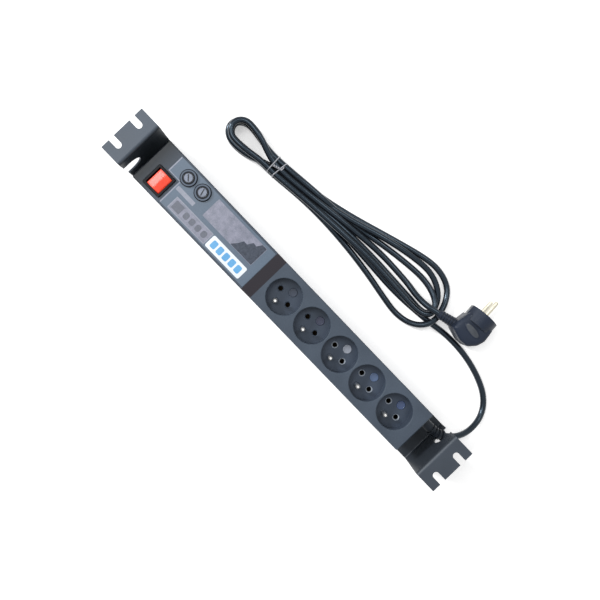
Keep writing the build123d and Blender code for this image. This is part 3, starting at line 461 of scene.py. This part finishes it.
SUN_STRENGTH = 2.2
SUN_WIDTH = math.radians(12)
SUN_FROM = (-0.88, -0.24, 0.56)
# area lamps: name, place and what they point at in metres, watts and size in metres
SOFT_LAMPS = [
    ("soft", (-0.48, -0.04, 1.25), (-0.15, 0.03, 0.0), 4.6, 0.5),   # the rocker mirrors this one
    ("side", (0.04, 0.62, 1.10), (0.02, 0.09, 0.0), 2.6, 0.36),     # draws streaks on the cord
]


def looked_at(tree):
    """1 for rays that see a surface straight, in a reflection or through glass."""
    seen = add_node(tree, "LightPath").outputs
    mirrored = maths(tree, "MAXIMUM", seen["Is Glossy Ray"], seen["Is Transmission Ray"])
    return maths(tree, "MAXIMUM", seen["Is Camera Ray"], mirrored)


def make_floor():
    bm = bmesh.new()
    bmesh.ops.create_grid(bm, x_segments=1, y_segments=1, size=FLOOR_SIZE)
    floor = in_scene("floor", mesh_of(bm, "floor", smooth=False))
    material = bpy.data.materials.new("floor_white")
    material.use_nodes = True
    tree = material.node_tree
    tree.nodes.clear()
    diffuse = add_node(tree, "BsdfDiffuse", {"Color": FLOOR_TONE})
    glow = add_node(tree, "Emission", {"Strength": product(tree, looked_at(tree), FLOOR_GLOW)})
    both = add_node(tree, "AddShader", {0: diffuse.outputs["BSDF"], 1: glow.outputs["Emission"]})
    add_node(tree, "OutputMaterial", {"Surface": both.outputs["Shader"]})
    floor.data.materials.append(material)


def make_world():
    world = bpy.data.worlds.new("studio")
    bpy.context.scene.world = world
    world.use_nodes = True
    tree = world.node_tree
    background = tree.nodes["Background"]
    background.inputs["Color"].default_value = WHITE
    tree.links.new(ranged(tree, looked_at(tree), 0.0, 1.0, FILL, 1.0),
                   background.inputs["Strength"])


def hang(lamp, backwards):
    """Puts a lamp in the scene, shining away from the direction backwards."""
    hung = in_scene(lamp.name, lamp)
    hung.rotation_euler = Vector(backwards).to_track_quat("Z", "Y").to_euler()
    return hung


def make_lamps():
    sun = bpy.data.lights.new("key", "SUN")
    sun.energy = SUN_STRENGTH
    sun.angle = SUN_WIDTH
    hang(sun, SUN_FROM)
    for name, place, aim, watts, size in SOFT_LAMPS:
        lamp = bpy.data.lights.new(name, "AREA")
        lamp.energy = watts
        lamp.size = size
        hang(lamp, Vector(place) - Vector(aim)).location = place


# ---------------------------------------------------------------- finishes
BLUE_REFLECTION_TINT = (0.9, 0.96, 1.0, 1.0)      # painted reflection colour: reflections of plastics and paint are tinted bluer
# painted reflection colour of the cord, bluer still
CORD_REFLECTION_TINT = (0.55, 0.78, 1.0, 1.0)

CLOUD_SHARE = 0.62                      # of the tone's wander; fine specks have the rest
CLOUD_DETAIL = 4.0
SPECK_DETAIL = 3.0
WANDER_RANGE = (0.33, 0.67)             # of the patterns, from one tone to the other
CLOUD_RANGE = (0.3, 0.7)                # of the clouds, from one roughness to the other
GRAIN_STRENGTH = 0.6
MARK_STRETCH = (1.0, 0.06, 1.0)
MARK_SCALE = 900.0
MARK_DETAIL = 2.0
MARK_RANGE = (0.62, 0.75)               # only the tops of the pattern are marks
EDGE_SAMPLES = 4

# Every finish by its key, which for CAD parts is the record's material slot; the plug's pins
# alone have one of their own.  Each has two display tones, the two ends of its roughness, and
# what differs from surface()'s own values.
FINISHES = {
    "housing": dict(
        name="housing_plastic", tones=((61, 70, 82), (74, 84, 97)), rough=(0.4, 0.52),
        grain=0.7, depth=0.03, edge=0.4, coat=0.08, marks=0.12),
    "bracket_paint": dict(
        name="bracket_paint", tones=((68, 76, 87), (82, 91, 103)), rough=(0.34, 0.46),
        grain=0.45, depth=0.035, edge=0.5, coat=0.15, coat_rough=0.3, marks=0.1),
    "screw_steel": dict(
        name="screw_steel", tones=((150, 150, 152), (190, 190, 192)), rough=(0.25, 0.4),
        grain=0.5, depth=0.01, metallic=1.0, edge=0.15),
    "socket_plastic": dict(
        name="socket_plastic", tones=((56, 65, 78), (68, 78, 94)), rough=(0.36, 0.48),
        edge=0.35, coat=0.1, coat_rough=0.2),
    "pin_nickel": dict(
        name="pin_nickel", tones=((226, 226, 224), (246, 246, 244)), rough=(0.2, 0.32),
        grain=0.5, depth=0.005, metallic=0.85, coat=0.6, edge=0.1, stretch=(1, 1, 8)),
    "plug_pin": dict(
        name="plug_pin", tones=((186, 182, 166), (216, 211, 194)), rough=(0.24, 0.36),
        grain=0.6, depth=0.01, metallic=0.9, edge=0.1),
    "socket_disc": dict(
        name="socket_disc", tones=((84, 90, 116), (112, 119, 146)), rough=(0.12, 0.26),
        grain=1.6, cloud=6.0, edge=0.2, coat=0.5, coat_rough=0.08),
    # the contacts' tone is brass darkened as painted shade, for the deep live holes they sit in
    "brass": dict(
        name="contact_brass", tones=((34, 29, 22), (58, 48, 34)), rough=(0.4, 0.6),
        grain=0.6, depth=0.01, metallic=1.0),
    "switch_black": dict(
        name="switch_black", tones=((13, 13, 16), (20, 20, 24)), rough=(0.26, 0.36),
        grain=0.6, depth=0.008, specular=0.1),
    "rocker_red": dict(
        name="rocker_red", tones=((226, 54, 28), (246, 82, 48)), rough=(0.16, 0.26),
        grain=0.9, depth=0.01, cloud=12.0, edge=2.6, coat=1.0, coat_rough=0.22),
    "lamp_glass": dict(
        name="lamp_glass", tones=((214, 120, 70), (240, 160, 100)), rough=(0.08, 0.16),
        grain=1.0, depth=0.003),
    "fuse_black": dict(
        name="fuse_black", tones=((13, 15, 20), (22, 24, 31)), rough=(0.28, 0.4),
        grain=0.6, depth=0.01, specular=0.1),
    "fuse_head": dict(
        name="fuse_head", tones=((98, 107, 124), (132, 140, 158)), rough=(0.22, 0.36),
        grain=0.7, depth=0.015, cloud=7.0, edge=0.25, coat=0.15, coat_rough=0.15),
    "fuse_glass": dict(
        name="fuse_glass", tones=((196, 206, 204), (222, 230, 228)), rough=(0.04, 0.1),
        grain=1.0, depth=0.002, coat=0.5),
    "label": dict(
        name="label_film", tones=((84, 98, 114), (98, 113, 130)), rough=(0.34, 0.46),
        grain=0.9, depth=0.012, edge=0.12, coat=0.15, coat_rough=0.25, marks=0.1),
    "board_green": dict(
        name="board_green", tones=((22, 78, 44), (34, 96, 56)), rough=(0.3, 0.42),
        grain=1.2, coat=0.3),
    "choke_ferrite": dict(
        name="choke_winding", tones=((130, 62, 30), (172, 92, 48)), rough=(0.25, 0.4),
        grain=0.9, depth=0.15, metallic=0.6),
    "capacitor_yellow": dict(
        name="capacitor_yellow", tones=((196, 160, 40), (216, 182, 60)), rough=(0.3, 0.4),
        grain=1.0, depth=0.01),
    "varistor_blue": dict(
        name="varistor_blue", tones=((30, 66, 140), (44, 84, 164)), rough=(0.25, 0.4),
        depth=0.03),
    "terminal_grey": dict(
        name="terminal_grey", tones=((120, 122, 126), (140, 142, 146)), rough=(0.35, 0.5),
        grain=0.7),
    "core_brown": dict(
        name="core_brown", tones=((84, 46, 26), (104, 60, 36)), rough=(0.35, 0.45), depth=0.01),
    "core_blue": dict(
        name="core_blue", tones=((30, 80, 150), (42, 98, 172)), rough=(0.35, 0.45), depth=0.01),
    "core_earth": dict(
        name="core_earth", tones=((70, 130, 50), (90, 150, 64)), rough=(0.35, 0.45), depth=0.01),
    "relief_rubber": dict(
        name="relief_rubber", tones=((17, 22, 28), (27, 33, 43)), rough=(0.34, 0.46),
        grain=0.6, depth=0.03, edge=0.4),
    "cord_black": dict(
        name="cord_jacket", tones=((8, 11, 17), (13, 17, 25)), rough=(0.18, 0.27),
        grain=0.7, depth=0.006, cloud=18.0, coat=0.12, coat_rough=0.14, sheen=0.03,
        specular=0.42, reflection_tint=CORD_REFLECTION_TINT),
    "tie_wire": dict(
        name="tie_wire", tones=((140, 141, 147), (176, 177, 183)), rough=(0.28, 0.4),
        grain=0.6, coat=0.3),
    "plug_black": dict(
        name="plug_black", tones=((19, 27, 41), (29, 38, 56)), rough=(0.32, 0.45),
        grain=0.7, depth=0.03, edge=0.5, coat=0.08, coat_rough=0.25, sheen=0.04),
    "plug_pad": dict(
        name="plug_pad", tones=((58, 62, 68), (74, 78, 84)), rough=(0.3, 0.42),
        depth=0.03, cloud=6.0, coat=0.15),
    "print_pale": dict(
        name="print_pale", tones=((134, 138, 152), (152, 156, 170)), rough=(0.3, 0.42),
        grain=0.9, depth=0.006, cloud=5.0, coat=0.1),
    "print_lavender": dict(
        name="print_lavender", tones=((112, 116, 130), (148, 149, 166)), rough=(0.3, 0.42),
        grain=1.3, depth=0.006, cloud=6.5, coat=0.1),
    "print_dark": dict(
        name="print_dark", tones=((44, 50, 62), (74, 80, 94)), rough=(0.3, 0.42),
        grain=1.1, depth=0.006, cloud=3.0, coat=0.1),
    "print_grey": dict(
        name="print_grey", tones=((86, 90, 102), (104, 108, 120)), rough=(0.3, 0.42),
        grain=0.9, depth=0.006, cloud=4.0, coat=0.1),
    "print_white": dict(
        name="print_white", tones=((222, 228, 234), (238, 243, 248)), rough=(0.28, 0.4),
        grain=0.9, depth=0.006, coat=0.15),
    "print_blue": dict(
        name="print_blue", tones=((84, 152, 206), (112, 178, 226)), rough=(0.3, 0.42),
        grain=0.9, depth=0.006, coat=0.1),
}
ROCKER_PAINTED_GLOW = (255, 60, 20)             # painted glow: emission standing in for light shining through the red plastic
ROCKER_PAINTED_GLOW_STRENGTH = 0.27


def surface(name, tones, rough, grain=0.8, depth=0.02, cloud=30.0, edge=0.0, metallic=0.0,
            coat=0.0, coat_rough=0.12, sheen=0.0, specular=0.25, stretch=(1, 1, 1), marks=0.0,
            reflection_tint=BLUE_REFLECTION_TINT):
    """A finish whose tone and gloss wander, with a fine grain in its bump.

    tones are two display colours, rough the two ends of its roughness, grain and cloud the sizes
    of its two patterns in mm, depth the height of the grain in mm, edge the rounding of its edges
    in mm, stretch how much the patterns are drawn out along each axis, marks how plainly the
    handling marks show in the gloss, and the last, a painted reflection colour, tints what it
    mirrors, unless it is metal.
    """
    material = bpy.data.materials.new(name)
    material.use_nodes = True
    tree = material.node_tree
    shader = tree.nodes["Principled BSDF"]
    place = add_node(tree, "TexCoord").outputs["Object"]
    drawn = stretched(tree, place, [1.0 / value for value in stretch])
    clouds = noise(tree, drawn, 1000 / cloud, CLOUD_DETAIL)
    specks = noise(tree, drawn, 1000 / grain, SPECK_DETAIL)
    wander = maths(tree, "ADD", product(tree, clouds, CLOUD_SHARE),
                   product(tree, specks, 1 - CLOUD_SHARE))
    colour = mixed(tree, ranged(tree, wander, *WANDER_RANGE), srgb(*tones[0]), srgb(*tones[1]))
    tree.links.new(colour, shader.inputs["Base Color"])
    gloss = ranged(tree, clouds, *CLOUD_RANGE, *rough)
    if marks:
        lines = noise(tree, stretched(tree, place, MARK_STRETCH), MARK_SCALE, MARK_DETAIL)
        gloss = maths(tree, "ADD", gloss, ranged(tree, lines, *MARK_RANGE, 0.0, marks))
    tree.links.new(gloss, shader.inputs["Roughness"])
    bump = add_node(tree, "Bump", {
        "Height": specks, "Strength": GRAIN_STRENGTH, "Distance": depth * MM})
    if edge:
        rounded = add_node(tree, "Bevel", {"Radius": edge * MM}, samples=EDGE_SAMPLES)
        tree.links.new(rounded.outputs["Normal"], bump.inputs["Normal"])
        tree.links.new(rounded.outputs["Normal"], shader.inputs["Coat Normal"])
    tree.links.new(bump.outputs["Normal"], shader.inputs["Normal"])
    shader.inputs["Metallic"].default_value = metallic
    shader.inputs["Specular IOR Level"].default_value = specular
    # painted reflection colour, tinting all but metal
    if not metallic:
        shader.inputs["Specular Tint"].default_value = reflection_tint
    shader.inputs["Coat Weight"].default_value = coat
    shader.inputs["Coat Roughness"].default_value = coat_rough
    shader.inputs["Sheen Weight"].default_value = sheen
    return material


# ---------------------------------------------------------------- tones, painted shade and painted highlights that differ by place
BAND = (-44.3, -31.3)                   # x of the slope between the control panel and the sockets
BAND_HEIGHT = (46.0, 52.0)
# painted shade and reflection: the slope is drawn darker and brownish, as it faces away from the
# light
BAND_SHADE_TONE = (44, 40, 46)
FACE_SHADE = (-260.0, -186.0)            # painted shade: the face is drawn darker towards the switch end, near the bracket
FACE_SHADE_SOFT = 13.0
FACE_SHADE_HEIGHT = (49.2, 60.0)
FACE_SHADE_HEIGHT_SOFT = 0.6
FACE_SHADE_SHARE = 0.95
FACE_SHADE_TONE = (18, 20, 24)
SEAM = (15.75, 16.25)                   # heights of the seam between the base and the cover
SEAM_SOFT = 0.1
SEAM_TONE = (18, 20, 24)

# painted shade on the inner sides of the brackets' legs
LEG_INNER = (100.0, 217.2)              # from the middle, up to the legs' inner sides
LEG_SHADE_SOFT = 0.8
LEG_SHADE_SHARE = 0.8
LEG_SHADE_TONE = (20, 24, 27)
CORD_END = (0.0, 300.0)
CORD_END_SHADE_SHARE = 0.6                    # painted shade: the bracket at the cord end is drawn slightly darker
CORD_END_SHADE_TONE = (48, 53, 60)

SOCKET_X = -7.6                         # middle of the first socket
SOCKET_PITCH = 41.4
LIVE = (8.91, -3.3)                     # live hole from the socket's middle; the other is opposite
RIM = (2.5, 3.55)                       # radii of the moulding round a live hole
RIM_HEIGHT = (31.9, 33.2)
# painted highlight on the moulding round each live hole, brighter in the last three sockets
RIM_HIGHLIGHT_TONE = (84, 94, 108)
BRIGHT_RIM_SOCKETS = (SOCKET_X + 1.5 * SOCKET_PITCH, SOCKET_X + 4.5 * SOCKET_PITCH)  # last three sockets
BRIGHT_RIM_HIGHLIGHT_TONE = (168, 176, 186)
# each disc's own tone with painted reflection: the five alike discs are drawn lighter or darker
# one by one
DISC_TONES_AND_REFLECTIONS = [(62, 70, 86), (58, 62, 84), (152, 158, 170), (88, 108, 142), (66, 84, 122)]

FUSES = ((-161.7, 13.6), (-141.4, 13.6))
FLANGE_RING = (6.7, 8.2)                # radii
FLANGE_HEIGHT = (52.5, 54.0)
FLANGE_TONE = (96, 106, 120)
CAP_GROOVE = (4.6, 6.2)                 # radii
CAP_HEIGHT = (52.0, 55.0)
CAP_TONE = (30, 33, 40)
CAP_SLOT = (52.2, 53.3)                 # heights
CAP_SLOT_TONE = (44, 48, 58)

STRIPE_WAVES = 400.0                    # radians in each metre of the earth core
STRIPE = (-300.0, 300.0)                # part of each wave that is yellow, in thousandths
STRIPE_TONE = (206, 190, 50)


def tint(material, mask, colour):
    """Lays a display colour over a finish where mask, a function of X, Y and Z, gives 1."""
    tree = material.node_tree
    shader = tree.nodes["Principled BSDF"]
    place = add_node(tree, "TexCoord").outputs["Object"]
    axes = add_node(tree, "SeparateXYZ", {"Vector": place}).outputs
    under = shader.inputs["Base Color"].links[0].from_socket
    over = mixed(tree, mask(tree, axes["X"], axes["Y"], axes["Z"]), under, srgb(*colour))
    tree.links.new(over, shader.inputs["Base Color"])


def distance(tree, x, y, place):
    """How far, in metres, a point is from this place in mm, seen from above."""
    dx = maths(tree, "SUBTRACT", x, place[0] * MM)
    dy = maths(tree, "SUBTRACT", y, place[1] * MM)
    return maths(tree, "SQRT", maths(tree, "ADD", product(tree, dx, dx), product(tree, dy, dy)))


def live_rims(tree, x, y, z):
    """1 on the mouldings round the live holes of every socket."""
    turn = maths(tree, "ADD", x, (SOCKET_PITCH / 2 - SOCKET_X) * MM)
    local = maths(tree, "SUBTRACT", maths(tree, "FLOORED_MODULO", turn, SOCKET_PITCH * MM),
                  SOCKET_PITCH / 2 * MM)
    near = maths(tree, "MINIMUM", distance(tree, local, y, LIVE),
                 distance(tree, local, y, (-LIVE[0], -LIVE[1])))
    return product(tree, span(tree, near, *RIM), span(tree, z, *RIM_HEIGHT))


def fuse_rings(tree, x, y, z, radii, heights):
    """1 on a ring round the middle of each fuse holder, between two heights."""
    near = maths(tree, "MINIMUM", *(distance(tree, x, y, fuse) for fuse in FUSES))
    return product(tree, span(tree, near, *radii), span(tree, z, *heights))


def tint_housing(housing):
    """Painted shade on the slope and at the switch end of the face, and the dark seam between the
    base and the cover.
    """
    # painted shade and reflection on the slope
    tint(housing, lambda tree, x, y, z: product(
        tree, span(tree, x, *BAND), span(tree, z, *BAND_HEIGHT)), BAND_SHADE_TONE)
    # painted shade on the face near the switch-end bracket
    tint(housing, lambda tree, x, y, z: product(
        tree, span(tree, x, *FACE_SHADE, FACE_SHADE_SOFT),
        span(tree, z, *FACE_SHADE_HEIGHT, FACE_SHADE_HEIGHT_SOFT), FACE_SHADE_SHARE), FACE_SHADE_TONE)
    tint(housing, lambda tree, x, y, z: span(tree, z, *SEAM, SEAM_SOFT), SEAM_TONE)


def tint_brackets(paint):
    """Painted shade on the inner sides of the legs and over the whole bracket at the cord end."""
    # painted shade on the legs' inner sides
    tint(paint, lambda tree, x, y, z: product(
        tree, span(tree, maths(tree, "ABSOLUTE", x), *LEG_INNER, LEG_SHADE_SOFT), LEG_SHADE_SHARE), LEG_SHADE_TONE)
    # painted shade over the whole bracket at the cord end
    tint(paint, lambda tree, x, y, z: product(
        tree, span(tree, x, *CORD_END), CORD_END_SHADE_SHARE), CORD_END_SHADE_TONE)


def tint_sockets(plastic, disc):
    """Painted highlights on the mouldings round the live holes, brighter in the last three
    sockets, and each disc's own tone with painted reflection.
    """
    # painted highlight round the live holes
    tint(plastic, live_rims, RIM_HIGHLIGHT_TONE)
    tint(plastic, lambda tree, x, y, z: product(
        tree, live_rims(tree, x, y, z), span(tree, x, *BRIGHT_RIM_SOCKETS)), BRIGHT_RIM_HIGHLIGHT_TONE)
    # each disc's tone with painted reflection
    for number, tone in enumerate(DISC_TONES_AND_REFLECTIONS):
        middle = SOCKET_X + number * SOCKET_PITCH
        tint(disc, lambda tree, x, y, z: span(
            tree, x, middle - SOCKET_PITCH / 2, middle + SOCKET_PITCH / 2), tone)


def tint_fuses(holder, cap):
    """Grey ring on each fuse holder, and the dark groove and slot of each cap."""
    tint(holder, lambda tree, x, y, z: fuse_rings(
        tree, x, y, z, FLANGE_RING, FLANGE_HEIGHT), FLANGE_TONE)
    tint(cap, lambda tree, x, y, z: fuse_rings(tree, x, y, z, CAP_GROOVE, CAP_HEIGHT), CAP_TONE)
    tint(cap, lambda tree, x, y, z: span(tree, z, *CAP_SLOT), CAP_SLOT_TONE)


def make_materials():
    made = {key: surface(**finish) for key, finish in FINISHES.items()}
    # painted glow on the rocker, standing in for light through its red plastic
    rocker = made["rocker_red"].node_tree.nodes["Principled BSDF"]
    rocker.inputs["Emission Color"].default_value = srgb(*ROCKER_PAINTED_GLOW)
    rocker.inputs["Emission Strength"].default_value = ROCKER_PAINTED_GLOW_STRENGTH
    tint_housing(made["housing"])
    tint_brackets(made["bracket_paint"])
    tint_sockets(made["socket_plastic"], made["socket_disc"])
    tint_fuses(made["fuse_black"], made["fuse_head"])
    # yellow stripe of the earth core
    tint(made["core_earth"], lambda tree, x, y, z: span(
        tree, maths(tree, "SINE", product(tree, x, STRIPE_WAVES)), *STRIPE), STRIPE_TONE)
    return made


def dress_nodes():
    """Gives every CAD part its finish, by the record's material slots."""
    for row in frame["record"]["subparts"]:
        finish = "plug_pin" if row["node"] == "plug_pins" else row["material_slot"]
        for slot in nodes[row["node"]].material_slots:
            slot.link = "OBJECT"
            slot.material = materials[finish]


# ---------------------------------------------------------------- printed label
LABEL_TOP = 50.9
PRINT = 0.04                # thickness of each layer of print
CORNER_STEPS = 4


def box(first, second, corner=0.0):
    """Outline of a box between two opposite corners, rounded if asked."""
    (x0, y0), (x1, y1) = first, second
    if not corner:
        return [(x0, y0), (x1, y0), (x1, y1), (x0, y1)]
    outline = []
    for x, y, start in ((x1 - corner, y1 - corner, 0), (x0 + corner, y1 - corner, 90),
                        (x0 + corner, y0 + corner, 180), (x1 - corner, y0 + corner, 270)):
        for step in range(CORNER_STEPS + 1):
            a = math.radians(start + step * 90 / CORNER_STEPS)
            outline.append((x + corner * math.cos(a), y + corner * math.sin(a)))
    return outline


# pieces of print: name, outline, layer and finish
PATCHES = [
    ("label_edge_upper", box((-182.0, 4.6), (-180.8, 23.6)), 0, "print_pale"),
    ("label_edge_lower", box((-165.6, -23.6), (-164.4, 4.2)), 0, "print_pale"),
    ("label_edge_step", box((-180.8, 4.6), (-165.8, 5.4)), 0, "print_pale"),
    ("label_strip", box((-163.4, -3.5), (-138.9, 1.2), 0.5), 0, "print_pale"),
    ("label_plaque", box((-156.4, -22.4), (-103.4, -7.5), 0.6), 0, "print_pale"),
    ("label_plaque_field", box((-155.4, -21.4), (-104.4, -8.5), 0.4), 1, "print_lavender"),
    ("label_sticker", box((-102.3, -22.0), (-53.8, -7.5), 1.8), 0, "print_white"),
    ("label_panel", box((-125.4, -2.5), (-54.5, 21.2), 0.8), 0, "print_lavender"),
    ("label_panel_shade", [(-85.0, -2.1), (-54.9, -2.1), (-54.9, 20.8), (-61.0, 20.8),
                           (-64.5, 15.2), (-69.0, 15.6), (-72.5, 9.6), (-77.0, 9.8),
                           (-80.0, 4.0)], 1, "print_dark"),
    ("label_plaque_block", box((-153.6, -19.8), (-142.6, -10.1), 0.8), 2, "print_grey"),
]
# rows of equal blocks: name, how many, two corners of the first, their rounding, the step from
# each to the next, layer and finish
BLOCK_ROWS = [
    ("label_plaque_bar", 4, (-139.0, -18.6), (-132.8, -11.4), 2.2, 8.5, 2, "print_grey"),
    ("label_sticker_block", 5, (-98.6, -19.0), (-92.2, -10.6), 1.6, 8.6, 1, "print_blue"),
]


def print_patch(name, outline, layer, finish):
    """A thin flat piece with this outline, seen from above."""
    bm = bmesh.new()
    base = LABEL_TOP + layer * PRINT
    low = [bm.verts.new((x * MM, y * MM, base * MM)) for x, y in outline]
    high = [bm.verts.new((x * MM, y * MM, (base + PRINT) * MM)) for x, y in outline]
    bm.faces.new(low[::-1])
    bm.faces.new(high)
    bridge(bm, low, high)
    new_piece(name, mesh_of(bm, name, smooth=False), materials[finish])


def make_label():
    """Generic blocks of colour where a label has its printing; nothing on it is lettering."""
    for patch in PATCHES:
        print_patch(*patch)
    for name, count, (x0, y0), (x1, y1), corner, step, layer, finish in BLOCK_ROWS:
        for number in range(count):
            along = number * step
            print_patch("%s_%d" % (name, number + 1),
                        box((x0 + along, y0), (x1 + along, y1), corner), layer, finish)


# ---------------------------------------------------------------- assembly
materials = make_materials()
dress_nodes()
make_camera()
make_floor()
make_world()
make_lamps()
cord, cord_exit = make_cord()
tie = make_tie()
plug = make_plug()
make_label()

bpy.context.scene.view_settings.view_transform = "Standard"
